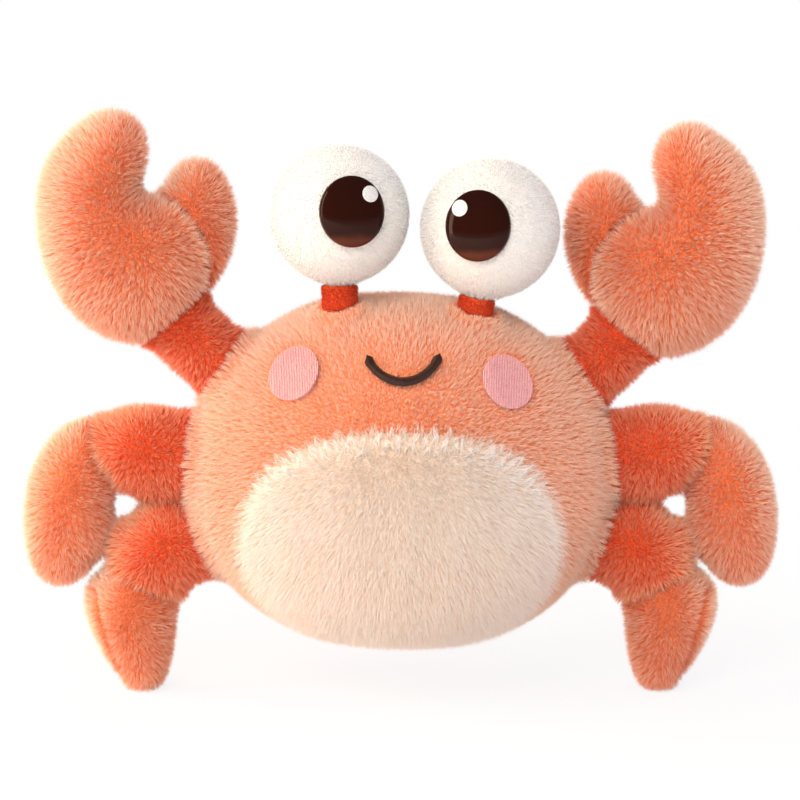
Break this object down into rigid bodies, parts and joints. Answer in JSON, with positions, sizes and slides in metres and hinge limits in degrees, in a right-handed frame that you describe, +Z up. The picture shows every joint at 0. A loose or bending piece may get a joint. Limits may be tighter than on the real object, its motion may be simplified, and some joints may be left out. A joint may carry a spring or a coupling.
{
  "type": "plush crab",
  "caption": "Stuffed plush crab that stands on its lower legs: round body, pale belly panel, raised mitten claws, bent side legs and ball eyes on short stalks.",
  "frame": {"origin": "centre of the crab's outline seen from above, on the floor that its soles stand on", "axes": "+Z up, -Y out of the face, +X to the viewer's right when looking at the face"},
  "size_m": [0.3024, 0.147, 0.2334],
  "materials": {
    "orange_plush": "short-pile coral orange plush, pile about 4 mm",
    "red_plush": "short-pile red-orange plush, pile about 3 mm",
    "red_velour": "close-cropped red velour",
    "cream_plush": "cream plush, pile about 5 mm",
    "white_plush": "smooth white velboa",
    "brown_plastic": "polished moulded plastic, very dark brown",
    "white_paint": "white inset dot",
    "brown_thread": "satin-stitched dark brown embroidery thread",
    "pink_thread": "fill-stitched pink embroidery thread"
  },
  "bodies": {
    "root": {"body": "orange_plush", "belly_panel": "cream_plush", "smile": "brown_thread", "cheek_left": "pink_thread", "cheek_right": "pink_thread", "eyeball_left": "white_plush", "eyeball_right": "white_plush", "eye_stalk_left": "red_velour", "eye_stalk_right": "red_velour", "pupil_left": "brown_plastic", "pupil_right": "brown_plastic", "glint_left": "white_paint", "glint_right": "white_paint", "eye_washer_left": "brown_plastic", "eye_washer_right": "brown_plastic", "palm_left": "orange_plush", "palm_right": "orange_plush", "thumb_left": "orange_plush", "thumb_right": "orange_plush", "arm_left": "red_plush", "arm_right": "red_plush", "thigh_upper_left": "red_plush", "thigh_upper_right": "red_plush", "thigh_lower_left": "red_plush", "thigh_lower_right": "red_plush", "shin_upper_left": "orange_plush", "shin_upper_right": "orange_plush", "shin_lower_left": "orange_plush", "shin_lower_right": "orange_plush"}
  },
  "joints": []
}
